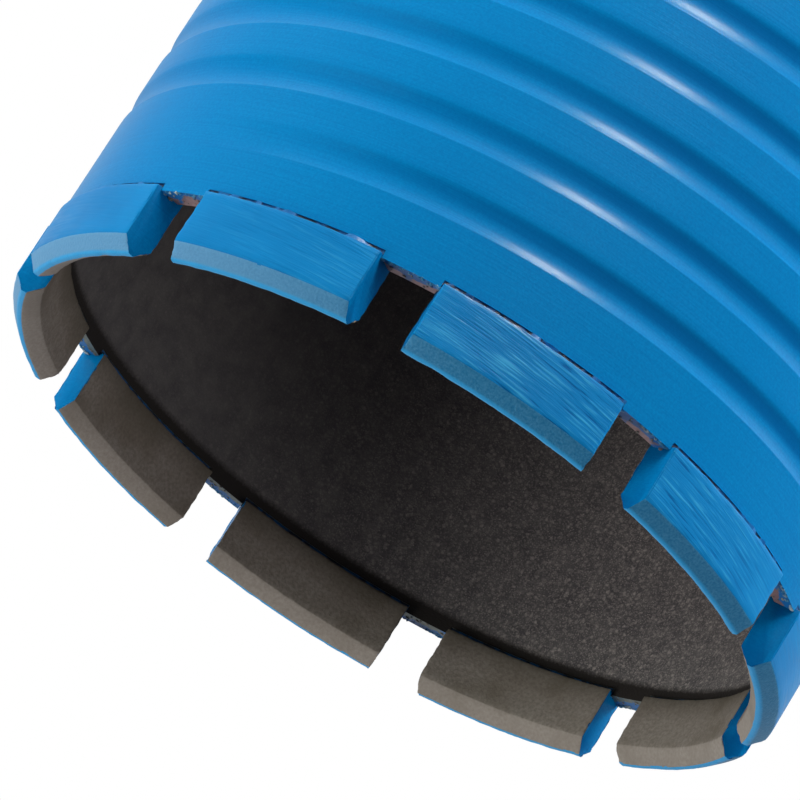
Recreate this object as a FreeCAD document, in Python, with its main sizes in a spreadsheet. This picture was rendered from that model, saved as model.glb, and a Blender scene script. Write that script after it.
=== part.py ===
import FreeCAD, Part
import os
import re
import Sketcher
from FreeCAD import Placement, Rotation, Vector

# Dry diamond core bit, 102 mm across the cutting segments.
# The origin is the centre of the hub's seating face. +Z runs along the axis to the cutting rim.
# All lengths are millimetres and all angles are degrees.

doc = FreeCAD.newDocument("core_bit")
sheet = doc.addObject("Spreadsheet::Sheet", "Sizes")

# Driving sizes: alias, value, what it is
SIZES = [
    ("cut_radius", 51.0, "radius over the outer faces of the segments"),
    ("segment_count", 10, "segments round the rim"),
    ("segment_width", 23.9, "chord width between a segment's parallel ends"),
    ("segment_thickness", 3.8, "radial thickness of a segment"),
    ("segment_side_height", 7.1, "flat side of a segment, below its bevels"),
    ("bevel_height", 1.7, "height of the two bevels that make the roof"),
    ("ridge_flat", 0.6, "width left flat on the ridge of the roof"),
    ("outer_relief", 0.6, "how far a segment stands proud of the barrel outside"),
    ("barrel_wall", 2.5, "wall of the barrel tube"),
    ("barrel_length", 160.0, "barrel from its back end to the rim"),
    ("barrel_chamfer", 0.6, "chamfer round the barrel's back end"),
    ("seat_depth", 1.0, "depth of the seat that each segment is welded into"),
    ("seat_clearance", 0.05, "gap between a segment's end and its seat"),
    ("seam_height", 0.5, "height of the weld metal under a segment"),
    ("seam_recess", 0.15, "how far the weld metal lies inside both faces of the wall"),
    ("groove_pitch", 8.85, "advance of the dust groove in one turn"),
    ("groove_width", 4.0, "width of the groove along the axis"),
    ("groove_toe", 1.9, "part of the width that the flank on the rim's side takes"),
    ("groove_depth", 0.45, "depth of the groove"),
    ("groove_turns", 6.2, "turns of the groove, counted back from the rim"),
    ("groove_rim_land", 6.7, "plain land between the groove's end and the rim"),
    ("groove_end_angle", 55.0, "angle about +Z at which the groove ends near the rim"),
    ("plate_thickness", 6.0, "back plate"),
    ("plate_inset", 1.5, "depth of the plate's back face inside the barrel's end"),
    ("plate_clearance", 0.05, "gap between the plate's edge and the barrel"),
    ("plate_weld_leg", 1.3, "leg of the weld between plate and barrel"),
    ("hub_length", 24.0, "hub from its seating face to the back plate"),
    ("hub_across_flats", 30.0, "spanner size of the hub's hexagon"),
    ("hex_length", 14.0, "length of the hexagon"),
    ("hex_face_chamfer", 1.2, "turned chamfer on the hexagon's corners at the seating face"),
    ("collar_radius", 18.0, "round collar between hexagon and plate"),
    ("hub_weld_leg", 3.0, "leg of the weld between collar and plate"),
    ("spigot_radius", 14.0, "spigot of the hub that passes through the plate"),
    ("spigot_clearance", 0.05, "gap between spigot and plate"),
    ("thread_radius", 9.315, "crest radius of the 1/2 inch pipe thread in the hub"),
    ("thread_length", 20.0, "depth to which the hub is threaded"),
    ("thread_relief", 1.3, "how much wider the bore is beyond the thread"),
    ("mouth_chamfer", 1.2, "chamfer at the mouth of the threaded bore"),
]
for row, (alias, number, note) in enumerate(SIZES, start=1):
    sheet.set(f"A{row}", note)
    sheet.set(f"B{row}", str(number))
    sheet.setAlias(f"B{row}", alias)
doc.recompute()
ALIASES = {alias for alias, number, note in SIZES}

# Places worked out from the driving sizes
PLATE_BACK = "hub_length"
PLATE_FRONT = "(hub_length + plate_thickness)"
BARREL_BACK = "(hub_length - plate_inset)"
RIM = "(hub_length - plate_inset + barrel_length)"
BARREL_OUTER = "(cut_radius - outer_relief)"
BARREL_INNER = "(cut_radius - outer_relief - barrel_wall)"
SEGMENT_INNER = "(cut_radius - segment_thickness)"
SEGMENT_BASE = "(hub_length - plate_inset + barrel_length - seat_depth + seam_height)"
SEGMENT_TOP = f"({SEGMENT_BASE} + segment_side_height + bevel_height)"
RIDGE_OUTER = "(cut_radius - (segment_thickness - ridge_flat) / 2)"
RIDGE_INNER = "(cut_radius - (segment_thickness + ridge_flat) / 2)"
GROOVE_RISE = "(groove_turns * groove_pitch)"
GROOVE_START = f"({RIM} - groove_rim_land - {GROOVE_RISE})"
HEX_CORNER = "(hub_across_flats / 2 / cos(30))"
CUT_MARGIN = "1"


def bound(text):
    """The expression with each size named in the sheet."""
    return re.sub(r"[a-z_]+", lambda m: "Sizes." + m.group() if m.group() in ALIASES else m.group(), text)


def number(text):
    """The present value of an expression."""
    return float(sheet.evalExpression(bound(text)))


def new_body(label):
    body = doc.addObject("PartDesign::Body", label)
    body.Label = label
    return body


def origin_feature(body, role):
    return next(f for f in body.Origin.OriginFeatures if f.Role == role)


def new_sketch(body, name, plane, lift=None):
    """A sketch on one of the body's own origin planes, lifted off it by an expression."""
    sketch = body.newObject("Sketcher::SketchObject", name)
    sketch.AttachmentSupport = [(origin_feature(body, plane), "")]
    sketch.MapMode = "FlatFace"
    if lift:
        sketch.setExpression("AttachmentOffset.Base.z", bound(lift))
    return sketch


def place_point(sketch, geometry, end, axis, text):
    """Dimensions one point of a sketch from the origin, along X or Y."""
    index = sketch.addConstraint(Sketcher.Constraint("Distance" + axis, -1, 1, geometry, end, number(text)))
    sketch.setExpression(f"Constraints[{index}]", bound(text))


def outline(sketch, points):
    """A closed outline of straight lines, each corner dimensioned by two expressions."""
    corners = [Vector(number(x), number(y), 0) for x, y in points]
    first = sketch.GeometryCount
    count = len(points)
    for i in range(count):
        sketch.addGeometry(Part.LineSegment(corners[i], corners[(i + 1) % count]), False)
    for i in range(count):
        sketch.addConstraint(Sketcher.Constraint("Coincident", first + i, 2, first + (i + 1) % count, 1))
    for i, (x, y) in enumerate(points):
        place_point(sketch, first + i, 1, "X", x)
        place_point(sketch, first + i, 1, "Y", y)


def turn_profile(body, name, points):
    """A ring about the axis: an outline in the XZ plane (radius, height), revolved."""
    sketch = new_sketch(body, name + "Profile", "XZ_Plane")
    outline(sketch, points)
    turned = body.newObject("PartDesign::Revolution", name)
    turned.Profile = sketch
    turned.ReferenceAxis = (sketch, ["V_Axis"])
    turned.Angle = 360
    doc.recompute()
    return turned


def polar(body, name, feature, count):
    """Repeats a feature evenly about the axis."""
    pattern = body.newObject("PartDesign::PolarPattern", name)
    pattern.Originals = [feature]
    pattern.Axis = (origin_feature(body, "Z_Axis"), [""])
    pattern.Angle = 360
    pattern.setExpression("Occurrences", bound(count))
    body.Tip = pattern
    doc.recompute()
    return pattern


def make_barrel():
    """Steel tube with a right-hand dust groove outside and ten seats in its rim."""
    body = new_body("barrel")
    turn_profile(body, "Tube", [
        (BARREL_INNER, BARREL_BACK),
        (f"{BARREL_OUTER} - barrel_chamfer", BARREL_BACK),
        (BARREL_OUTER, f"{BARREL_BACK} + barrel_chamfer"),
        (BARREL_OUTER, RIM),
        (BARREL_INNER, RIM),
    ])
    cut_spiral(body)
    seat = new_sketch(body, "SeatPlan", "XY_Plane", RIM)
    half = "(segment_width / 2 + seat_clearance)"
    outline(seat, [
        (f"{BARREL_INNER} / 2", f"-{half}"),
        (f"{BARREL_OUTER} + {CUT_MARGIN}", f"-{half}"),
        (f"{BARREL_OUTER} + {CUT_MARGIN}", half),
        (f"{BARREL_INNER} / 2", half),
    ])
    pocket = body.newObject("PartDesign::Pocket", "Seat")
    pocket.Profile = seat
    pocket.setExpression("Length", bound("seat_depth"))
    doc.recompute()
    polar(body, "Seats", pocket, "segment_count")


def cut_spiral(body):
    """One helical groove behind the rim, with a flank towards the hub and one towards the rim."""
    sketch = new_sketch(body, "GrooveProfile", "XZ_Plane")
    sketch.AttachmentOffset = Placement(Vector(0, 0, 0), Rotation(Vector(0, 1, 0), 1))
    sketch.setExpression(
        "AttachmentOffset.Rotation.Angle",
        bound("groove_end_angle - groove_turns * 360"),
    )
    outline(sketch, [
        (BARREL_OUTER, GROOVE_START),
        (f"{BARREL_OUTER} + {CUT_MARGIN}", GROOVE_START),
        (f"{BARREL_OUTER} + {CUT_MARGIN}", f"{GROOVE_START} - groove_width"),
        (BARREL_OUTER, f"{GROOVE_START} - groove_width"),
        (f"{BARREL_OUTER} - groove_depth", f"{GROOVE_START} - groove_toe"),
    ])
    before = body.Shape.Volume
    groove = body.newObject("PartDesign::SubtractiveHelix", "DustGroove")
    groove.Profile = sketch
    groove.ReferenceAxis = (origin_feature(body, "Z_Axis"), [""])
    groove.Mode = "pitch-height-angle"
    groove.LeftHanded = False
    groove.setExpression("Pitch", bound("groove_pitch"))
    groove.setExpression("Height", bound(GROOVE_RISE))
    doc.recompute()
    print("groove removes", round(before - body.Shape.Volume, 1), "mm3")


def arc_block(body, name, outer, inner, base, height):
    """A block that follows the wall's curve, with parallel ends one segment width apart."""
    sketch = new_sketch(body, name + "Plan", "XY_Plane", base)
    half = number("segment_width / 2")
    corners = []
    for radius_text in (outer, inner):
        radius = number(radius_text)
        reach = (radius ** 2 - half ** 2) ** 0.5
        crown = Vector(radius, 0, 0)
        low, high = Vector(reach, -half, 0), Vector(reach, half, 0)
        arc = sketch.addGeometry(Part.Arc(low, crown, high), False)
        sketch.addConstraint(Sketcher.Constraint("Coincident", arc, 3, -1, 1))
        rule = sketch.addConstraint(Sketcher.Constraint("Radius", arc, radius))
        sketch.setExpression(f"Constraints[{rule}]", bound(radius_text))
        corners.append((arc, low, high))
    (outer_arc, outer_low, outer_high), (inner_arc, inner_low, inner_high) = corners
    top_end = sketch.addGeometry(Part.LineSegment(outer_high, inner_high), False)
    low_end = sketch.addGeometry(Part.LineSegment(outer_low, inner_low), False)
    for line, end in ((top_end, 2), (low_end, 1)):
        sketch.addConstraint(Sketcher.Constraint("Coincident", line, 1, outer_arc, end))
        sketch.addConstraint(Sketcher.Constraint("Coincident", line, 2, inner_arc, end))
        sketch.addConstraint(Sketcher.Constraint("Horizontal", line))
    place_point(sketch, top_end, 1, "Y", "segment_width / 2")
    place_point(sketch, low_end, 1, "Y", "-segment_width / 2")
    block = body.newObject("PartDesign::Pad", name)
    block.Profile = sketch
    block.setExpression("Length", bound(height))
    doc.recompute()
    return block


def turn_to(body, place):
    """Turns a body about the axis to its place in the ring."""
    step = 360 / number("segment_count")
    body.Placement = Placement(Vector(0, 0, 0), Rotation(Vector(0, 0, 1), place * step))
    body.setExpression("Placement.Rotation.Angle", bound(f"{place} * 360 / segment_count"))


def make_segment(place):
    """Diamond segment: a curved block whose top is bevelled to a ridge at mid thickness."""
    body = new_body(f"segment_{place + 1:02d}")
    arc_block(body, "Block", "cut_radius", SEGMENT_INNER, SEGMENT_BASE, "segment_side_height + bevel_height")
    roof = new_sketch(body, "RoofProfile", "XZ_Plane")
    shoulder = f"{SEGMENT_TOP} - bevel_height"
    above = f"{SEGMENT_TOP} + {CUT_MARGIN}"
    for ridge, face, beyond in (
        (RIDGE_OUTER, "cut_radius", f"cut_radius + {CUT_MARGIN}"),
        (RIDGE_INNER, SEGMENT_INNER, f"{SEGMENT_INNER} - {CUT_MARGIN}"),
    ):
        outline(roof, [
            (ridge, SEGMENT_TOP),
            (face, shoulder),
            (beyond, shoulder),
            (beyond, above),
            (ridge, above),
        ])
    bevels = body.newObject("PartDesign::Groove", "Bevels")
    bevels.Profile = roof
    bevels.ReferenceAxis = (roof, ["V_Axis"])
    bevels.Angle = 360
    turn_to(body, place)
    doc.recompute()


def make_seam(place):
    """Weld metal that joins a segment to the floor of its seat, a little inside the wall's faces."""
    body = new_body(f"weld_seam_{place + 1:02d}")
    arc_block(
        body, "Weld", f"{BARREL_OUTER} - seam_recess", f"{BARREL_INNER} + seam_recess",
        f"{RIM} - seat_depth", "seam_height",
    )
    turn_to(body, place)
    doc.recompute()


def make_back_plate():
    """Turned disc welded inside the barrel's back end, bored for the hub's spigot."""
    body = new_body("back_plate")
    edge = f"{BARREL_INNER} - plate_clearance"
    bore = "(spigot_radius + spigot_clearance)"
    turn_profile(body, "Disc", [
        (bore, PLATE_BACK),
        (edge, PLATE_BACK),
        (edge, PLATE_FRONT),
        (bore, PLATE_FRONT),
    ])


def make_hub():
    """Turned hub: hexagon, collar and spigot, with a threaded bore from the seating face."""
    body = new_body("hub")
    relief = "(thread_radius + thread_relief)"
    turn_profile(body, "Turned", [
        ("thread_radius + mouth_chamfer", "0"),
        (f"{HEX_CORNER} - hex_face_chamfer", "0"),
        (HEX_CORNER, "hex_face_chamfer / 2"),
        (HEX_CORNER, "hex_length"),
        ("collar_radius", "hex_length"),
        ("collar_radius", PLATE_BACK),
        ("spigot_radius", PLATE_BACK),
        ("spigot_radius", PLATE_FRONT),
        (relief, PLATE_FRONT),
        (relief, "thread_length + thread_relief"),
        ("thread_radius", "thread_length"),
        ("thread_radius", "mouth_chamfer"),
    ])
    flat = new_sketch(body, "FlatPlan", "XY_Plane")
    outline(flat, [
        ("hub_across_flats / 2", f"-{HEX_CORNER}"),
        (f"{HEX_CORNER} + {CUT_MARGIN}", f"-{HEX_CORNER}"),
        (f"{HEX_CORNER} + {CUT_MARGIN}", HEX_CORNER),
        ("hub_across_flats / 2", HEX_CORNER),
    ])
    pocket = body.newObject("PartDesign::Pocket", "Flat")
    pocket.Profile = flat
    pocket.Reversed = True
    pocket.setExpression("Length", bound("hex_length"))
    doc.recompute()
    polar(body, "Hexagon", pocket, "6")


def make_weld_ring(label, wall, leg, side):
    """Weld bead in the corner between the plate's back face and a round wall beside it."""
    body = new_body(label)
    turn_profile(body, "Bead", [
        (wall, PLATE_BACK),
        (wall, f"{PLATE_BACK} - {leg}"),
        (f"{wall} {side} {leg}", PLATE_BACK),
    ])


make_barrel()
make_back_plate()
make_hub()
make_weld_ring("plate_weld", BARREL_INNER, "plate_weld_leg", "-")
make_weld_ring("hub_weld", "collar_radius", "hub_weld_leg", "+")
for place in range(int(number("segment_count"))):
    make_segment(place)
    make_seam(place)
doc.recompute()

for obj in doc.Objects:
    if "Invalid" in obj.State or "Error" in obj.State:
        raise RuntimeError(f"{obj.Name} did not compute: {obj.State}")
bodies = [obj for obj in doc.Objects if obj.TypeId == "PartDesign::Body"]
for body in bodies:
    if body.Shape.isNull() or not body.Shape.isValid():
        raise RuntimeError(f"{body.Label} has no valid shape")
    if len(body.Shape.Solids) != 1:
        raise RuntimeError(f"{body.Label} has {len(body.Shape.Solids)} solids")

os.makedirs("parts", exist_ok=True)
for body in bodies:
    body.Shape.exportStep(os.path.join("parts", body.Label + ".step"))
    print(body.Label, "volume", round(body.Shape.Volume, 2), "mm3")
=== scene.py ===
import bmesh
import bpy
import math
import random
from mathutils import Matrix, Quaternion, Vector, noise


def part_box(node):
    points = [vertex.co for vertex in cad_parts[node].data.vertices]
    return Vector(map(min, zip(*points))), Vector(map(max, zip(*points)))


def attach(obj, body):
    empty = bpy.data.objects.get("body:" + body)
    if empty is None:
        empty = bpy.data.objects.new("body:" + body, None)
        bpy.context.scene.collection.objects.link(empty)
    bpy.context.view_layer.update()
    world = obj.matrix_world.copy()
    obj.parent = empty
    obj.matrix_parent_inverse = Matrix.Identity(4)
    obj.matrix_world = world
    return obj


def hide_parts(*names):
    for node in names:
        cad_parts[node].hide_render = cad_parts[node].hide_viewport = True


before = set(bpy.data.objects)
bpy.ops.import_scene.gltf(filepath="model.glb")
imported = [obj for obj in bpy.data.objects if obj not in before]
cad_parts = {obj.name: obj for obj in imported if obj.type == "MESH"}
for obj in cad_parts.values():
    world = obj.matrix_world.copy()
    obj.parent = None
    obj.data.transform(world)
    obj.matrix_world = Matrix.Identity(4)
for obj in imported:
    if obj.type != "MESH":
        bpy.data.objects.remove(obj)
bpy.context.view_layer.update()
mm = 0.001

# Barrel: a thin steel tube, sprayed blue outside and left raw and dark inside. A right-hand
# dust groove with a hollow section is turned into it behind the rim. Ten shallow seats are
# milled into the rim, and the rim's end is bare between them.
barrel_low, barrel_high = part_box("barrel")
barrel_outer = 50.4 * mm
barrel_wall = 2.5 * mm
barrel_inner = barrel_outer - barrel_wall
back_end = barrel_low.z
back_chamfer = 0.6 * mm
rim = barrel_high.z
turn_steps = 150
segment_count = 10


def add_node(tree, kind, inputs=None, **settings):
    """One shader node. Settings are its attributes, and inputs are values or other nodes' outputs."""
    made = tree.nodes.new(kind)
    for name, value in settings.items():
        setattr(made, name, value)
    for name, value in (inputs or {}).items():
        if isinstance(value, bpy.types.NodeSocket):
            tree.links.new(value, made.inputs[name])
        else:
            made.inputs[name].default_value = value
    return made


def combine(tree, operation, first, second):
    """Two numbers joined by one operation, such as MULTIPLY."""
    return add_node(tree, "ShaderNodeMath", {0: first, 1: second}, operation=operation).outputs[0]


def combine_vectors(tree, operation, first, second):
    """Two vectors joined by one operation, such as ADD."""
    return add_node(tree, "ShaderNodeVectorMath", {0: first, 1: second}, operation=operation).outputs[0]


def parts_of(tree, vector):
    """The X, Y and Z of a vector."""
    return add_node(tree, "ShaderNodeSeparateXYZ", {0: vector}).outputs


def blend(tree, value, low, high, start=0.0, end=1.0):
    """A value mapped from low..high to start..end, held at both ends."""
    mapped = add_node(tree, "ShaderNodeMapRange", {0: value, 1: low, 2: high, 3: start, 4: end})
    return mapped.outputs[0]


def mix_colours(tree, factor, first, second):
    """Two colours mixed by a mask."""
    mixed = add_node(tree, "ShaderNodeMix", {0: factor, 6: first, 7: second}, data_type="RGBA")
    return mixed.outputs[2]


def bump(tree, height, strength, distance):
    """A normal that follows a mask as relief."""
    relief = add_node(tree, "ShaderNodeBump", {"Height": height, "Strength": strength, "Distance": distance})
    return relief.outputs[0]


def new_material(name):
    """An empty material with its tree and the piece's own coordinates."""
    material = bpy.data.materials.new(name)
    material.use_nodes = True
    tree = material.node_tree
    tree.nodes.clear()
    return material, tree, add_node(tree, "ShaderNodeTexCoord").outputs["Object"]


def close_material(tree, shader):
    add_node(tree, "ShaderNodeOutputMaterial", {"Surface": shader.outputs[0]})


def coat(tree, shade, roughness, normal, specular=0.5, metallic=0.0):
    """The opaque surface that ends a material."""
    close_material(tree, add_node(tree, "ShaderNodeBsdfPrincipled", {
        "Base Color": shade,
        "Roughness": roughness,
        "Specular IOR Level": specular,
        "Metallic": metallic,
        "Normal": normal,
    }))


def new_group(name, inputs, outputs):
    """A shader node group with named number inputs and outputs."""
    group = bpy.data.node_groups.new(name, "ShaderNodeTree")
    for label, value in inputs.items():
        socket = group.interface.new_socket(label, in_out="INPUT", socket_type="NodeSocketFloat")
        socket.default_value = value
    for label in outputs:
        group.interface.new_socket(label, in_out="OUTPUT", socket_type="NodeSocketFloat")
    return group, group.nodes.new("NodeGroupInput").outputs, group.nodes.new("NodeGroupOutput").inputs


def use_group(tree, group, **inputs):
    """The outputs of a node group that is placed in a material with its own values."""
    used = add_node(tree, "ShaderNodeGroup", node_tree=group)
    for label, value in inputs.items():
        used.inputs[label].default_value = value
    return used.outputs


# Turning lines: fine marks that run round the axis, as a lathe or a grinding belt leaves them.
# Along and Across are how dense they are each way, and Slant is how far they climb in metres
# for each radian.
turning_lines, given, made = new_group(
    "turning lines", {"Along": 60.0, "Across": 4000.0, "Slant": 0.0}, ["Lines"],
)
place = add_node(turning_lines, "ShaderNodeTexCoord").outputs["Object"]
apart = parts_of(turning_lines, place)
round_axis = combine(turning_lines, "ARCTAN2", apart["Y"], apart["X"])
climb = combine(turning_lines, "MULTIPLY", round_axis, given["Slant"])
climb = add_node(turning_lines, "ShaderNodeCombineXYZ", {2: climb}).outputs[0]
place = combine_vectors(turning_lines, "ADD", place, climb)
density = {0: given["Along"], 1: given["Along"], 2: given["Across"]}
density = add_node(turning_lines, "ShaderNodeCombineXYZ", density).outputs[0]
stretched = combine_vectors(turning_lines, "MULTIPLY", place, density)
lines = add_node(turning_lines, "ShaderNodeTexNoise", {"Vector": stretched, "Scale": 1.0, "Detail": 4.0})
turning_lines.links.new(lines.outputs[0], made["Lines"])

# Grain: the fine speckle of sprayed paint or sintered metal, with a broad unevenness beside it.
grain_group, given, made = new_group("grain", {"Fine": 3000.0, "Broad": 60.0}, ["Grain", "Patches"])
place = add_node(grain_group, "ShaderNodeTexCoord").outputs["Object"]
fine = add_node(grain_group, "ShaderNodeTexNoise", {"Vector": place, "Scale": given["Fine"], "Detail": 2.0})
broad = add_node(grain_group, "ShaderNodeTexNoise", {"Vector": place, "Scale": given["Broad"], "Detail": 3.0})
grain_group.links.new(fine.outputs[0], made["Grain"])
grain_group.links.new(broad.outputs[0], made["Patches"])

# Axis distance: how far a place lies from the tube's axis, in metres.
axis_distance, _, made = new_group("axis distance", {}, ["Distance"])
place = add_node(axis_distance, "ShaderNodeTexCoord").outputs["Object"]
level = combine_vectors(axis_distance, "MULTIPLY", place, (1.0, 1.0, 0.0))
level = add_node(axis_distance, "ShaderNodeVectorMath", {0: level}, operation="LENGTH")
axis_distance.links.new(level.outputs["Value"], made["Distance"])

# Painted shade: the groove's flank that faces the rim is painted a deeper blue where little light reaches it,
# most on the -Y side.
blue, tree, place = new_material("blue paint")
lines = use_group(tree, turning_lines, Along=45.0, Across=5200.0)["Lines"]
grain = use_group(tree, grain_group, Fine=3200.0, Broad=35.0)
deep_blue = (0.0005, 0.165, 0.43, 1.0)
light_blue = (0.001, 0.207, 0.50, 1.0)
line_blue = (0.001, 0.23, 0.53, 1.0)
grain_blue = (0.001, 0.12, 0.36, 1.0)
flank_shade_blue = (0.001, 0.08, 0.28, 1.0)
shade = mix_colours(tree, blend(tree, grain["Patches"], 0.1, 0.9), deep_blue, light_blue)
shade = mix_colours(tree, blend(tree, lines, 0.3, 0.8, 0.0, 0.7), shade, line_blue)
shade = mix_colours(tree, blend(tree, grain["Grain"], 0.3, 0.7, 0.0, 0.4), shade, grain_blue)
outward = use_group(tree, axis_distance)["Distance"]
sunk = blend(tree, outward, barrel_outer - 0.02 * mm, barrel_outer - 0.2 * mm)
# Painted shade: a mask for the groove's flank that faces the rim, mostly on the -Y side.
facing = parts_of(tree, add_node(tree, "ShaderNodeNewGeometry").outputs["Normal"])["Z"]
shaded_flank = combine(tree, "MULTIPLY", sunk, blend(tree, facing, -0.02, 0.12))
side = blend(tree, parts_of(tree, place)["Y"], 0.04, 0.0, 0.05, 0.55)
shade = mix_colours(tree, combine(tree, "MULTIPLY", shaded_flank, side), shade, flank_shade_blue)
relief = combine(tree, "ADD", lines, grain["Grain"])
roughness = blend(tree, grain["Patches"], 0.1, 0.9, 0.27, 0.33)
coat(tree, shade, roughness, bump(tree, relief, 0.35, 0.03 * mm), specular=0.06)

# Inside, the steel is dark with pale specks of two sizes, and it is black just below the rim. The specks show
# most on the -Y side, which is painted light: the side where light falls in over the rim.
dark_inside, tree, place = new_material("raw dark inside")
grain = use_group(tree, grain_group, Fine=3000.0, Broad=420.0)
dull_steel = (0.087, 0.08, 0.083, 1.0)
pale_steel = (0.132, 0.121, 0.119, 1.0)
speck_colour = (0.5, 0.44, 0.40, 1.0)
rim_band_black = (0.028, 0.024, 0.022, 1.0)
spot = parts_of(tree, place)
# Painted light: the specks are brighter on the -Y side, where light falls in.
lit_side_specks = blend(tree, spot["Y"], 0.02, -0.03, 0.1, 0.92)
shade = mix_colours(tree, blend(tree, grain["Patches"], 0.3, 0.7), dull_steel, pale_steel)
for speck_scale, strength, rarity in ((2100.0, 0.8, 3.5), (5200.0, 0.9, 1.7)):
    pits = add_node(tree, "ShaderNodeTexVoronoi", {"Vector": place, "Scale": speck_scale}).outputs
    each = add_node(tree, "ShaderNodeSeparateColor", {0: pits["Color"]}).outputs[0]
    each = combine(tree, "POWER", each, rarity)
    specks = combine(tree, "MULTIPLY", blend(tree, pits["Distance"], 0.75, 0.1, 0.0, strength), each)
    shade = mix_colours(tree, combine(tree, "MULTIPLY", specks, lit_side_specks), shade, speck_colour)
# Darker in a ragged band just below the rim.
ragged = combine(tree, "ADD", spot["Z"], blend(tree, grain["Grain"], 0.3, 0.7, 0.0, 0.3 * mm))
shade = mix_colours(tree, blend(tree, ragged, rim - 2.6 * mm, rim - 1.7 * mm), shade, rim_band_black)
coat(tree, shade, 0.6, bump(tree, grain["Grain"], 0.5, 0.1 * mm), specular=0.3)

# The rim's bare end is warm on the +X side and cool on the other, with paint over its outer
# edge.
bare_rim, tree, place = new_material("bare rim end")
grain = use_group(tree, grain_group, Fine=1800.0, Broad=500.0)
warm = mix_colours(tree, grain["Grain"], (0.20, 0.115, 0.105, 1.0), (0.46, 0.28, 0.26, 1.0))
cool = mix_colours(tree, grain["Grain"], (0.08, 0.09, 0.07, 1.0), (0.26, 0.28, 0.23, 1.0))
shade = mix_colours(tree, blend(tree, parts_of(tree, place)["X"], 0.01, -0.01), warm, cool)
outward = use_group(tree, axis_distance)["Distance"]
near_edge = blend(tree, outward, barrel_outer - 1.7 * mm, barrel_outer - 0.3 * mm, 0.0, 0.42)
painted = blend(tree, combine(tree, "ADD", grain["Patches"], near_edge), 0.62, 0.68)
shade = mix_colours(tree, painted, shade, (0.01, 0.12, 0.33, 1.0))
metallic = blend(tree, painted, 0.0, 1.0, 0.5, 0.0)
coat(tree, shade, 0.45, bump(tree, grain["Patches"], 0.6, 0.2 * mm), metallic=metallic)


def make_piece(bm, name, materials, slot, *nodes, crease=30.0):
    """Turns a bmesh into a smooth piece that rides on the body and stands for its nodes."""
    for face in bm.faces:
        face.smooth = True
    mesh = bpy.data.meshes.new(name)
    bm.to_mesh(mesh)
    bm.free()
    mesh.set_sharp_from_angle(angle=math.radians(crease))
    for material in materials:
        mesh.materials.append(material)
    piece = bpy.data.objects.new(name, mesh)
    bpy.context.scene.collection.objects.link(piece)
    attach(piece, "root")
    if nodes:
        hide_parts(*nodes)


def everything(bm):
    """All the geometry of a bmesh."""
    return bm.verts[:] + bm.edges[:] + bm.faces[:]


def lift(bm, height):
    bmesh.ops.translate(bm, verts=bm.verts[:], vec=(0, 0, height))


def swing(bm, angle):
    """Turns a whole bmesh about the axis."""
    bmesh.ops.rotate(bm, verts=bm.verts[:], matrix=Matrix.Rotation(angle, 3, "Z"))


def spin(bm, angle, steps, climb=0.0, whole=False):
    """Spins the geometry about the axis, with a climb for each step."""
    bmesh.ops.spin(
        bm, geom=everything(bm), axis=(0, 0, 1), cent=(0, 0, 0), angle=angle, steps=steps,
        dvec=(0, 0, climb), use_merge=whole,
    )


def face_outwards(bm):
    bmesh.ops.recalc_face_normals(bm, faces=bm.faces[:])


def trim(bm, point, normal):
    """Cuts off all that lies past a plane."""
    bmesh.ops.bisect_plane(
        bm, geom=everything(bm), plane_co=point, plane_no=normal, clear_outer=True, dist=1e-6,
    )


def outline_loop(bm, points):
    """A closed outline in the XZ plane, given as (radius, height)."""
    corners = [bm.verts.new((x, 0.0, z)) for x, z in points]
    return [bm.edges.new((corners[i - 1], corners[i])) for i in range(len(corners))]


def turn(points, steps):
    """A closed ring: an outline spun once about the axis."""
    bm = bmesh.new()
    outline_loop(bm, points)
    spin(bm, 2 * math.pi, steps, whole=True)
    bmesh.ops.remove_doubles(bm, verts=bm.verts[:], dist=1e-7)
    face_outwards(bm)
    return bm


def cut_with(bm, tool):
    """Cuts the tool's closed shape out of a closed mesh, and returns what is left."""
    scrap = []
    for name, shape in (("work", bm), ("tool", tool)):
        mesh = bpy.data.meshes.new(name)
        shape.to_mesh(mesh)
        shape.free()
        scrap.append(bpy.data.objects.new(name, mesh))
        bpy.context.scene.collection.objects.link(scrap[-1])
    work, tool = scrap
    cut = work.modifiers.new("cut", "BOOLEAN")
    cut.operation = "DIFFERENCE"
    cut.solver = "EXACT"
    cut.object = tool
    bpy.context.view_layer.update()
    result = bpy.data.meshes.new_from_object(work.evaluated_get(bpy.context.evaluated_depsgraph_get()))
    left = bmesh.new()
    left.from_mesh(result)
    for old in scrap:
        bpy.data.objects.remove(old)
    return left


# The groove's band is one pitch of wall, copied up the tube and trimmed flat at both ends.
# The rows are millimetres from the groove's edge towards the hub, closest in the groove.
groove_pitch = 8.85 * mm
groove_turns = 6.2
groove_width = 4.3 * mm
groove_depth = 0.45 * mm
groove_lean = 1.25
groove_crest = 0.213
groove_end_angle = 55.0
groove_end_height = rim - 6.7 * mm
overrun_angle = 8.0
run_out_angle = 50.0
groove_rows = [
    0.0, 0.05, 0.3, 0.6, 0.95, 1.3, 1.65, 2.0, 2.35, 2.7,
    3.0, 3.3, 3.6, 3.9, 4.15, 4.4, 5.4, 6.5, 7.6, 8.75,
]
band_turns = groove_turns + 1.4
band_foot = rim - band_turns * groove_pitch
pitches_below = math.ceil(band_turns)

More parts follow.
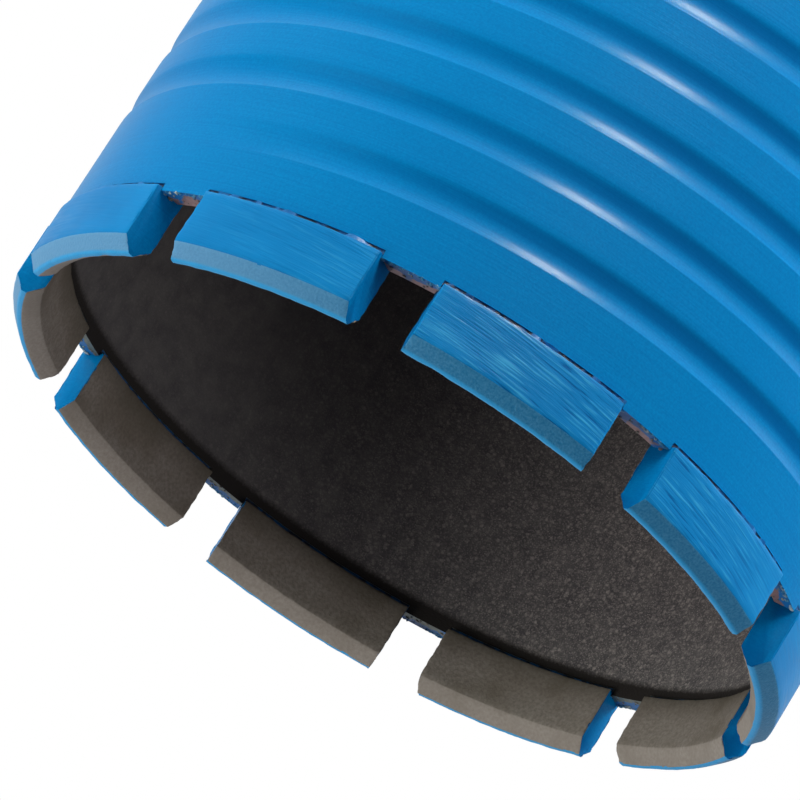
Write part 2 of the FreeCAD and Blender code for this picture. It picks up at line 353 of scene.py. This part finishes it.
wall = bmesh.new()
row_points = [wall.verts.new((barrel_outer, 0.0, -row * mm)) for row in groove_rows]
row_points.append(wall.verts.new((barrel_outer, 0.0, -groove_pitch)))
for upper, lower in zip(row_points, row_points[1:]):
    wall.edges.new((upper, lower))
swing(wall, math.radians(groove_end_angle))
lift(wall, groove_end_height - pitches_below * groove_pitch)
spin(wall, 2 * math.pi, turn_steps, climb=groove_pitch / turn_steps)
one_turn = everything(wall)
for higher in range(1, pitches_below + 2):
    copied = bmesh.ops.duplicate(wall, geom=one_turn)["geom"]
    copied = [item for item in copied if isinstance(item, bmesh.types.BMVert)]
    bmesh.ops.translate(wall, verts=copied, vec=(0, 0, higher * groove_pitch))
bmesh.ops.remove_doubles(wall, verts=wall.verts[:], dist=1e-6)
for vert in wall.verts:
    angle = math.degrees(math.atan2(vert.co.y, vert.co.x))
    edge_line = groove_end_angle + (vert.co.z - groove_end_height) / groove_pitch * 360
    wound = angle + 360 * math.ceil((edge_line - angle) / 360 - 1e-4)
    across = (wound - edge_line) / 360 * groove_pitch / groove_width
    fade = min(1.0, max(0.0, (groove_end_angle + overrun_angle - wound) / run_out_angle))
    fade *= min(1.0, max(0.0, (wound - groove_end_angle + groove_turns * 360) / run_out_angle))
    if 0.0 < across < 1.0:
        section = across * (1 - across) ** groove_lean / groove_crest
        depth = groove_depth * section * fade * fade * (3 - 2 * fade)
        vert.co.xy *= 1 - depth / barrel_outer
trim(wall, (0, 0, rim), (0, 0, 1))
trim(wall, (0, 0, band_foot), (0, 0, -1))


def carry_edge(bm, height, radius, new_height):
    """Carries the open edge at one height on to a new radius and height."""
    open_edges = [e for e in bm.edges if e.is_boundary and all(abs(v.co.z - height) < 1e-5 for v in e.verts)]
    carried = bmesh.ops.extrude_edge_only(bm, edges=open_edges)["geom"]
    for vert in (v for v in carried if isinstance(v, bmesh.types.BMVert)):
        vert.co.xy = vert.co.xy.normalized() * radius
        vert.co.z = new_height


# The band's lower edge is carried down to the back end, in, and up the inside. An edge on its
# way in or out goes 0.1 mm past the end, and is brought back level afterwards.
past_end = 1e-4
inner_break = rim - 3 * mm
carry_edge(wall, band_foot, barrel_outer, back_end + back_chamfer)
carry_edge(wall, back_end + back_chamfer, barrel_outer - back_chamfer, back_end)
carry_edge(wall, back_end, barrel_inner, back_end - past_end)
carry_edge(wall, back_end - past_end, barrel_inner, inner_break)
for vert in wall.verts:
    vert.co.z = max(vert.co.z, back_end)
carry_edge(wall, inner_break, barrel_inner, rim + past_end)
bmesh.ops.bridge_loops(wall, edges=[e for e in wall.edges if e.is_boundary])
for vert in wall.verts:
    vert.co.z = min(vert.co.z, rim)
bmesh.ops.remove_doubles(wall, verts=wall.verts[:], dist=1e-6)
face_outwards(wall)

# The seats are flat-bottomed notches, one segment wide.
segment_low, segment_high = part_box("segment_01")
seat_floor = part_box("weld_seam_01")[0].z
seat_half = segment_high.y + 0.05 * mm
cutter_height = 4 * mm
cutter_depth = barrel_wall + 8 * mm
seats = bmesh.new()
for number in range(segment_count):
    turned = Matrix.Rotation(2 * math.pi * number / segment_count, 4, "Z")
    block = Matrix.LocRotScale(
        Vector(((barrel_inner + barrel_outer) / 2, 0, seat_floor + cutter_height / 2)), None,
        Vector((cutter_depth, 2 * seat_half, cutter_height)),
    )
    bmesh.ops.create_cube(seats, size=1.0, matrix=turned @ block)
wall = cut_with(wall, seats)

skin = 0.1 * mm
milled_height = rim - 1.5 * mm
for face in wall.faces:
    middle = face.calc_center_median()
    radius = middle.xy.length
    in_wall = barrel_inner + skin < radius < barrel_outer - skin
    upright = abs(face.normal.z) < 0.1
    sideways = face.normal.xy.normalized().dot(middle.xy.normalized()) < 0.9
    if middle.z > milled_height and (face.normal.z > 0.5 or in_wall and upright and sideways):
        face.material_index = 2
    elif radius < barrel_inner + skin:
        face.material_index = 1
    else:
        face.material_index = 0
make_piece(wall, "barrel_tube", [blue, dark_inside, bare_rim], "blue_paint", "barrel")

# Segments: ten blocks of sintered metal and diamond, pressed to the tube's curve with a
# roof-shaped top. Blue overspray covers their outsides and ends, the bevel is rubbed, and
# the inside stays bare.
segment_outer = segment_high.x
segment_inner = math.hypot(segment_low.x, segment_low.y)
segment_half = segment_high.y
segment_base = segment_low.z
segment_top = segment_high.z
bevel_height = 1.7 * mm
ridge_flat = 0.6 * mm
shoulder = segment_top - bevel_height
middle_radius = (segment_outer + segment_inner) / 2
ridge_outer = middle_radius + ridge_flat / 2
ridge_inner = middle_radius - ridge_flat / 2
segment_reach = math.radians(15.5)
segment_steps = 56
segment_grid = 0.5 * mm
edge_round = 0.14 * mm
chip_depth = 0.12 * mm
end_wear = 0.13 * mm
long_wear = 0.05 * mm

# Grinding left bright and dull lines on the outsides that face +X, most on the -Y side.
scratched, tree, place = new_material("scratched blue segment")
lines = use_group(tree, turning_lines, Along=190.0, Across=3500.0, Slant=0.004)["Lines"]
grain = use_group(tree, grain_group, Fine=2600.0, Broad=90.0)
deep_blue = (0.002, 0.165, 0.43, 1.0)
light_blue = (0.005, 0.215, 0.52, 1.0)
shade = mix_colours(tree, blend(tree, grain["Patches"], 0.3, 0.7), deep_blue, light_blue)
spot = parts_of(tree, place)
scraped = blend(tree, spot["X"], 0.034, 0.048, 0.25, 0.9)
scraped = combine(tree, "MULTIPLY", scraped, blend(tree, spot["Y"], 0.0, 0.02, 1.0, 0.35))
bright = combine(tree, "MULTIPLY", blend(tree, lines, 0.54, 0.7), scraped)
dull = combine(tree, "MULTIPLY", blend(tree, lines, 0.42, 0.32), scraped)
shade = mix_colours(tree, bright, shade, (0.04, 0.35, 0.62, 1.0))
shade = mix_colours(tree, dull, shade, (0.001, 0.085, 0.27, 1.0))
shade = mix_colours(tree, blend(tree, grain["Patches"], 0.76, 0.78), shade, (0.004, 0.02, 0.05, 1.0))
roughness = blend(tree, lines, 0.3, 0.7, 0.3, 0.45)
strength = blend(tree, spot["X"], 0.034, 0.048, 0.2, 0.6)
coat(tree, shade, roughness, bump(tree, lines, strength, 0.1 * mm), specular=0.1)

rubbed, tree, place = new_material("rubbed blue bevel")
grain = use_group(tree, grain_group, Fine=3600.0, Broad=400.0)
spot = parts_of(tree, place)
worn_blue = (0.018, 0.195, 0.40, 1.0)
pale_blue = (0.065, 0.28, 0.50, 1.0)
shade = mix_colours(tree, blend(tree, grain["Grain"], 0.3, 0.7), worn_blue, pale_blue)
# Painted sheen: the bevel is paler towards +Y, where the light from the left falls on it.
shade = mix_colours(tree, blend(tree, spot["Y"], 0.005, 0.04, 0.0, 0.7), shade, (0.16, 0.36, 0.60, 1.0))
crest = blend(tree, spot["Z"], segment_top - 0.35 * mm, segment_top - 0.15 * mm)
shade = mix_colours(tree, crest, shade, (0.04, 0.36, 0.72, 1.0))
coat(tree, shade, 0.42, bump(tree, grain["Grain"], 0.6, 0.12 * mm), specular=0.25)

sintered, tree, place = new_material("bare sintered metal")
grain = use_group(tree, grain_group, Fine=2400.0, Broad=120.0)
height = parts_of(tree, place)["Z"]
dark_metal = (0.265, 0.222, 0.188, 1.0)
pale_metal = (0.38, 0.33, 0.285, 1.0)
shade = mix_colours(tree, blend(tree, grain["Grain"], 0.3, 0.7), dark_metal, pale_metal)
stained = blend(tree, grain["Patches"], 0.45, 0.65, 0.0, 0.6)
shade = mix_colours(tree, stained, shade, (0.18, 0.145, 0.107, 1.0))
# Darker towards the segment's foot at the rim.
darker_near_rim = blend(tree, height, rim + 3 * mm, rim, 0.0, 0.55)
shade = mix_colours(tree, darker_near_rim, shade, (0.095, 0.08, 0.056, 1.0))
# The bevel above the shoulder is lighter: partly a real grinding finish, partly painted light where it faces
# up into the light.
ground_and_lit_bevel = blend(tree, height, shoulder - 0.1 * mm, shoulder, 0.0, 0.35)
shade = mix_colours(tree, ground_and_lit_bevel, shade, (0.50, 0.44, 0.38, 1.0))
coat(tree, shade, 0.6, bump(tree, grain["Grain"], 0.45, 0.1 * mm), metallic=0.25)


def sweep_block(corners, half_width, reach, steps):
    """A closed outline swept along the rim's curve and cut to parallel ends."""
    bm = bmesh.new()
    for edge in outline_loop(bm, corners):
        cuts = max(0, round(edge.calc_length() / segment_grid) - 1)
        if cuts:
            bmesh.ops.subdivide_edges(bm, edges=[edge], cuts=cuts)
    swing(bm, -reach)
    spin(bm, 2 * reach, steps)
    for side in (1, -1):
        trim(bm, (0, side * half_width, 0), (0, side, 0))
    bmesh.ops.holes_fill(bm, edges=[e for e in bm.edges if e.is_boundary], sides=0)
    face_outwards(bm)
    return bm


for number in range(segment_count):
    block = sweep_block([
        (segment_inner, segment_base),
        (segment_outer, segment_base),
        (segment_outer, shoulder),
        (ridge_outer, segment_top),
        (ridge_inner, segment_top),
        (segment_inner, shoulder),
    ], segment_half, segment_reach, segment_steps)
    sharp = [e for e in block.edges if e.calc_face_angle(0) > math.radians(20)]
    rounded = bmesh.ops.bevel(
        block, geom=sharp, offset=edge_round, affect="EDGES", segments=2, profile=0.5, material=-1,
    )
    shift = Vector((number * 7.31, number * 3.17 + 0.6, 0.0))
    for vert in {v for face in rounded["faces"] for v in face.verts}:
        worn = noise.noise(vert.co / (1.1 * mm) + shift) + 0.5 * noise.noise(vert.co / (0.45 * mm) - shift)
        chipped = max(0.0, noise.noise(vert.co / (2.6 * mm) - shift) - 0.2)
        if segment_half - abs(vert.co.y) < 0.3 * mm:
            wear = end_wear * min(1.0, max(0.0, worn + 0.45))
        else:
            wear = long_wear * max(0.0, worn + 0.7)
        vert.co -= vert.normal * (wear + chip_depth * chipped)
    block.normal_update()
    for face in block.faces:
        middle = face.calc_center_median()
        if abs(face.normal.y) > 0.7 and abs(middle.y) > segment_half - 0.4 * mm:
            face.material_index = 3
        elif middle.z > shoulder and middle.xy.length > ridge_inner:
            face.material_index = 1
        elif middle.xy.length > middle_radius:
            face.material_index = 0
        else:
            face.material_index = 2
    swing(block, 2 * math.pi * number / segment_count)
    name = f"{number + 1:02d}"
    coats = [scratched, rubbed, sintered, blue]
    make_piece(block, f"diamond_segment_{name}", coats, "painted_segment", f"segment_{name}")

# Weld seams: a narrow run of weld metal under each segment, uneven and scorched, with the
# paint broken along it. It lies a little inside the wall's faces, and bulges out in places.
seam_low, seam_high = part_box("weld_seam_01")
seam_outer = seam_high.x
seam_inner = math.hypot(seam_low.x, seam_low.y)
seam_bulge = 0.7 * mm
seam_steps = 80

scorched, tree, place = new_material("scorched weld metal")
grain = use_group(tree, grain_group, Fine=2200.0, Broad=700.0)
shade = mix_colours(tree, grain["Grain"], (0.010, 0.012, 0.02, 1.0), (0.035, 0.03, 0.03, 1.0))
broken_paint = blend(tree, grain["Patches"], 0.45, 0.55, 0.1, 0.8)
shade = mix_colours(tree, broken_paint, shade, (0.006, 0.11, 0.32, 1.0))
outward = use_group(tree, axis_distance)["Distance"]
proud = blend(tree, outward, seam_outer + 0.08 * mm, seam_outer + 0.16 * mm)
shade = mix_colours(tree, proud, shade, (0.004, 0.16, 0.44, 1.0))
coat(tree, shade, 0.55, bump(tree, grain["Patches"], 0.8, 0.2 * mm))

for number in range(segment_count):
    seam = sweep_block([
        (seam_inner, seam_low.z),
        (seam_outer, seam_low.z),
        (seam_outer, seam_high.z),
        (seam_inner, seam_high.z),
    ], segment_half, segment_reach, seam_steps)
    shift = Vector((number * 5.7, 0.0, number * 2.9))
    for vert in seam.verts:
        if vert.co.xy.length > seam_outer - 0.1 * mm:
            bulge = max(0.0, noise.noise(vert.co / (1.6 * mm) + shift))
            bulge += 0.3 * noise.noise(vert.co / (0.5 * mm) - shift)
            vert.co.xy *= 1 + seam_bulge * bulge / seam_outer
    swing(seam, 2 * math.pi * number / segment_count)
    name = f"{number + 1:02d}"
    make_piece(seam, f"seam_bead_{name}", [scorched], "weld_metal", f"weld_seam_{name}")

# Burrs and spatter: small lumps that milling and welding left on the rim between the
# segments, thickest along its outer edge and at the segments' feet, with paint over most.
burrs_per_gap = 44
chance = random.Random(5)

flecked, tree, place = new_material("flecked burrs")
grain = use_group(tree, grain_group, Fine=1500.0, Broad=500.0)
shade = mix_colours(tree, grain["Grain"], (0.012, 0.13, 0.30, 1.0), (0.10, 0.32, 0.46, 1.0))
shade = mix_colours(tree, blend(tree, grain["Patches"], 0.55, 0.62), shade, (0.42, 0.46, 0.44, 1.0))
outward = use_group(tree, axis_distance)["Distance"]
bare = blend(tree, outward, barrel_outer - 0.4 * mm, barrel_outer - 1.2 * mm)
shade = mix_colours(tree, bare, shade, (0.20, 0.17, 0.14, 1.0))
metallic = blend(tree, bare, 0.0, 1.0, 0.0, 0.4)
coat(tree, shade, 0.4, bump(tree, grain["Grain"], 0.6, 0.1 * mm), metallic=metallic)

burrs = bmesh.new()
seat_reach = math.asin(seat_half / barrel_outer)
gap_reach = math.pi / segment_count - seat_reach
burr_edge = 0.12 * mm
burr_deepest = barrel_wall - 0.3 * mm
for number in range(segment_count):
    gap_middle = 2 * math.pi * (number + 0.5) / segment_count
    for count in range(burrs_per_gap):
        sideways = chance.uniform(-1.0, 1.0)
        size = chance.uniform(0.1, 0.25) * mm * (1.0 + 0.8 * abs(sideways) ** 6)
        inwards = abs(chance.gauss(0.0, 0.3)) * mm if count % 4 else chance.uniform(0.2, 2.2) * mm
        angle = gap_middle + gap_reach * sideways
        radius = barrel_outer - burr_edge - min(inwards, burr_deepest)
        spot = Vector((math.cos(angle) * radius, math.sin(angle) * radius, rim))
        flat = Vector((1.0, chance.uniform(0.7, 1.4), chance.uniform(0.4, 0.8)))
        turned = Quaternion((0, 0, 1), angle)
        lumps = bmesh.ops.create_icosphere(
            burrs, subdivisions=1, radius=size, matrix=Matrix.LocRotScale(spot, turned, flat),
        )["verts"]
        for vert in lumps:
            vert.co += (vert.co - spot) * 0.5 * noise.noise(vert.co / (0.25 * mm))
make_piece(burrs, "rim_burrs", [flecked], "weld_metal", crease=60.0)

# Back plate: a turned steel disc inside the barrel's back end, painted with the barrel.
# The hub's spigot fills its bore.
plate_low, plate_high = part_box("back_plate")
plate_edge = plate_high.x
plate_bore = 14.05 * mm
plate_round = 0.4 * mm
plate_steps = 128
plate = turn([
    (plate_bore, plate_low.z),
    (plate_edge - plate_round, plate_low.z),
    (plate_edge, plate_low.z + plate_round),
    (plate_edge, plate_high.z - plate_round),
    (plate_edge - plate_round, plate_high.z),
    (plate_bore, plate_high.z),
], plate_steps)
make_piece(plate, "back_disc", [blue], "blue_paint", "back_plate")

# Welds of the plate and the hub: two beads run by hand round the plate's back face, with the
# even ripples that the torch leaves, painted over.
bead_fullness = 0.35
bead_middle = 0.75
steps_per_ripple = 5
hub_low, hub_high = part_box("hub")
collar_radius = 18.0 * mm


def weld_bead(wall_radius, leg, outward, ripples):
    """A rippled bead in the corner between the plate's back face and a round wall."""
    face_height = plate_low.z
    bm = turn([
        (wall_radius, face_height),
        (wall_radius, face_height - leg),
        (wall_radius + outward * leg * bead_fullness, face_height - leg * bead_middle),
        (wall_radius + outward * leg * bead_middle, face_height - leg * bead_fullness),
        (wall_radius + outward * leg, face_height),
    ], ripples * steps_per_ripple)
    for vert in bm.verts:
        on_wall = abs(vert.co.xy.length - wall_radius) < 0.02 * mm and vert.co.z > face_height - leg * 0.9
        if not on_wall and vert.co.z < face_height - 0.02 * mm:
            angle = math.atan2(vert.co.y, vert.co.x)
            ripple = abs(math.sin(angle * ripples / 2)) - 0.5
            drift = noise.noise(vert.co / (6 * mm))
            vert.co.xy *= 1 - outward * leg * (0.04 * drift + 0.05 * ripple + 0.05) / wall_radius
            vert.co.z += leg * (0.06 * ripple + 0.06)
    return bm


for weld, wall_radius, outward, ripples in (
    ("plate_weld", barrel_inner, -1, 220),
    ("hub_weld", collar_radius, 1, 64),
):
    bead = weld_bead(wall_radius, plate_low.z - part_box(weld)[0].z, outward, ripples)
    make_piece(bead, f"{weld}_bead", [blue], "blue_paint", weld, crease=60.0)

# Hub: turned from steel bar, with a milled hexagon, a collar and a spigot through the plate.
# It is left bare, with fine turning lines and a film of oil.
across_flats = 30.0 * mm
hex_length = 14.0 * mm
hex_corner = across_flats / 2 / math.cos(math.radians(30))
face_chamfer = 1.2 * mm
hub_round = 0.3 * mm
spigot_radius = 14.0 * mm
thread_crest = 9.315 * mm
thread_root = 10.478 * mm
thread_pitch = 1.814 * mm
thread_length = 20.0 * mm
relief_radius = thread_crest + 1.3 * mm
relief_slope = 0.15 * mm
hub_steps = 160

steel, tree, place = new_material("turned steel")
lines = use_group(tree, turning_lines, Along=20.0, Across=3500.0)["Lines"]
grain = use_group(tree, grain_group, Fine=1800.0, Broad=120.0)
shade = mix_colours(tree, lines, (0.34, 0.34, 0.35, 1.0), (0.58, 0.57, 0.56, 1.0))
oiled = blend(tree, grain["Patches"], 0.5, 0.75, 0.0, 0.5)
shade = mix_colours(tree, oiled, shade, (0.22, 0.20, 0.18, 1.0))
roughness = blend(tree, lines, 0.3, 0.7, 0.28, 0.42)
coat(tree, shade, roughness, bump(tree, lines, 0.4, 0.06 * mm), metallic=1.0)

hub = turn([
    (thread_root, 0.0),
    (hex_corner - face_chamfer, 0.0),
    (hex_corner, face_chamfer / 2),
    (hex_corner, hex_length),
    (collar_radius - hub_round, hex_length),
    (collar_radius, hex_length + hub_round),
    (collar_radius, plate_low.z),
    (spigot_radius, plate_low.z),
    (spigot_radius, hub_high.z - hub_round),
    (spigot_radius - hub_round, hub_high.z),
    (relief_radius, hub_high.z),
    (relief_radius, thread_length + relief_slope),
    (thread_root, thread_length),
], hub_steps)
flats = bmesh.new()
for radius in (2 * hex_corner, hex_corner):
    bmesh.ops.create_circle(flats, segments=6, radius=radius)
bmesh.ops.bridge_loops(flats, edges=flats.edges[:])
swing(flats, math.radians(30))
lift(flats, -mm)
raised = bmesh.ops.extrude_face_region(flats, geom=flats.faces[:])["geom"]
raised = [item for item in raised if isinstance(item, bmesh.types.BMVert)]
bmesh.ops.translate(flats, verts=raised, vec=(0, 0, hex_length + mm))
face_outwards(flats)
hub = cut_with(hub, flats)
make_piece(hub, "threaded_hub", [steel], "turned_steel", "hub", crease=20.0)

# The pipe thread is a rib of triangular section, wound up the hub's bore. It starts soft at
# the mouth.
rib_foot = thread_root + 0.05 * mm
rib_turns = 9
rib_steps = 72
mouth_start = 0.4 * mm
mouth_length = 1.4 * mm
rib = bmesh.new()
outline_loop(rib, [
    (rib_foot, -thread_pitch * 0.48),
    (thread_crest, -thread_pitch * 0.06),
    (thread_crest, thread_pitch * 0.06),
    (rib_foot, thread_pitch * 0.48),
])
lift(rib, thread_pitch)
spin(rib, 2 * math.pi * rib_turns, rib_turns * rib_steps, climb=thread_pitch / rib_steps)
bmesh.ops.holes_fill(rib, edges=[e for e in rib.edges if e.is_boundary], sides=0)
face_outwards(rib)
for vert in rib.verts:
    into_mouth = min(1.0, max(0.0, (vert.co.z - mouth_start) / mouth_length))
    radius = vert.co.xy.length
    if radius < thread_root:
        vert.co.xy *= (thread_root + (radius - thread_root) * into_mouth) / radius
make_piece(rib, "hub_thread_rib", [steel], "turned_steel")

# Floor: a pale sheet that the bit stands on. It catches the bit's shadow near the hub and
# passes into plain white further out. The camera sees it lighter than the bit does.
floor_radius = 3.0
floor_drop = 0.05 * mm
floor_mesh = bmesh.new()
bmesh.ops.create_circle(floor_mesh, cap_ends=True, segments=96, radius=floor_radius)
lift(floor_mesh, -floor_drop)
pale, tree, place = new_material("pale floor")
ray = add_node(tree, "ShaderNodeLightPath").outputs
paper = mix_colours(tree, ray["Is Camera Ray"], (0.8, 0.8, 0.8, 1.0), (2.6, 2.6, 2.6, 1.0))
matt = add_node(tree, "ShaderNodeBsdfDiffuse", {"Color": paper})
white = add_node(tree, "ShaderNodeEmission", {"Color": (1.0, 1.0, 1.0, 1.0), "Strength": 1.0})
behind = blend(tree, parts_of(tree, place)["X"], -0.1, -0.5, 0.0, 0.5)
behind = combine(tree, "MULTIPLY", ray["Is Glossy Ray"], behind)
seen = combine(tree, "MAXIMUM", ray["Is Camera Ray"], behind)
away = add_node(tree, "ShaderNodeVectorMath", {0: place}, operation="LENGTH").outputs["Value"]
far = combine(tree, "MULTIPLY", blend(tree, away, 0.1, 0.3), seen)
close_material(tree, add_node(tree, "ShaderNodeMixShader", {0: far, 1: matt.outputs[0], 2: white.outputs[0]}))
mesh = bpy.data.meshes.new("floor")
floor_mesh.to_mesh(mesh)
floor_mesh.free()
mesh.materials.append(pale)
floor = bpy.data.objects.new("floor", mesh)
bpy.context.scene.collection.objects.link(floor)

# Light: a soft surround, six low lamps that shine up from the floor round the bit, and a left,
# a side and a right lamp for the inside and the far segments. One narrow, warm lamp low in
# front draws the streak along the groove.
world = bpy.data.worlds.new("surround")
bpy.context.scene.world = world
world.use_nodes = True
tree = world.node_tree
tree.nodes.clear()
ray = add_node(tree, "ShaderNodeLightPath").outputs
heading = parts_of(tree, add_node(tree, "ShaderNodeTexCoord").outputs["Generated"])
behind = combine(tree, "MULTIPLY", ray["Is Glossy Ray"], blend(tree, heading["X"], -0.2, -0.9, 0.0, 0.5))
seen = combine(tree, "MAXIMUM", ray["Is Camera Ray"], behind)
soft = blend(tree, heading["Z"], 0.1, 1.0, 0.045, 0.13)
strength = add_node(tree, "ShaderNodeMix", {0: seen, 2: soft, 3: 1.0}).outputs[0]
tint = mix_colours(tree, seen, (0.82, 0.86, 1.0, 1.0), (1.0, 1.0, 1.0, 1.0))
surround = add_node(tree, "ShaderNodeBackground", {"Color": tint, "Strength": strength})
add_node(tree, "ShaderNodeOutputWorld", {"Surface": surround.outputs[0]})


def add_lamp(name, azimuth, distance, height, aim, size, power, glossy=False, colour=(1.0, 1.0, 1.0)):
    """A rectangular lamp, seen only in reflections if glossy and else only by plain surfaces.
    The aim is the height on the axis that it faces, or None for straight up."""
    lamp = bpy.data.lights.new(name, "AREA")
    lamp.color = colour
    lamp.shape = "RECTANGLE"
    lamp.size, lamp.size_y = size
    lamp.energy = power
    placed = bpy.data.objects.new(name, lamp)
    bpy.context.scene.collection.objects.link(placed)
    heading = math.radians(azimuth)
    spot = Vector((math.cos(heading), math.sin(heading), 0.0)) * distance
    spot.z = height
    facing = Vector((0, 0, 1)) if aim is None else Vector((0, 0, aim)) - spot
    turned = facing.to_track_quat("-Z", "Y").to_matrix().to_4x4()
    if aim is None:
        turned = Matrix.Rotation(math.radians(azimuth + 90), 4, "Z") @ turned
    placed.matrix_world = Matrix.Translation(spot) @ turned
    placed.visible_camera = False
    placed.visible_glossy = glossy
    placed.visible_diffuse = not glossy
    return placed


view_azimuth = 4.03
for number, power in enumerate((0.35, 0.3, 0.3, 0.42, 0.56, 0.47)):
    add_lamp(
        f"foot_lamp_{number + 1}", view_azimuth + 30 + 60 * number, distance=0.2, height=0.004, aim=None,
        size=(0.14, 0.12), power=power,
    )
add_lamp(
    "left_lamp", 75.0, distance=0.55, height=0.2, aim=0.15, size=(0.4, 0.2), power=1.05,
    colour=(0.85, 1.0, 0.87),
)
add_lamp("side_lamp", 92.0, distance=0.42, height=0.68, aim=0.18, size=(0.35, 0.35), power=2.9)
add_lamp("right_lamp", -75.0, distance=0.5, height=0.36, aim=0.18, size=(0.3, 0.2), power=0.8)
streak = add_lamp(
    "streak_lamp", view_azimuth, distance=0.135, height=0.006, aim=0.24, size=(0.045, 0.09), power=0.12,
    glossy=True, colour=(1.0, 0.86, 0.62),
)
streak.data.spread = math.radians(50)

# Camera: above the rim and turned well over, as the photograph was taken.
view_elevation = 20.76
view_distance = 795.4 * mm
view_target = Vector((13.24, 6.65, 182.5)) * mm
view_roll = -147.81
camera = bpy.data.cameras.new("camera")
camera.lens = 313.8
camera.sensor_width = 36.0
camera.clip_start = 0.05
seat = bpy.data.objects.new("camera", camera)
bpy.context.scene.collection.objects.link(seat)
heading, rise = math.radians(view_azimuth), math.radians(view_elevation)
outward = Vector((math.cos(rise) * math.cos(heading), math.cos(rise) * math.sin(heading), math.sin(rise)))
seat.location = view_target + outward * view_distance
seat.rotation_mode = "QUATERNION"
seat.rotation_quaternion = (-outward).to_track_quat("-Z", "Y") @ Quaternion((0, 0, 1), math.radians(view_roll))
bpy.context.scene.camera = seat
bpy.context.scene.view_settings.view_transform = "Standard"
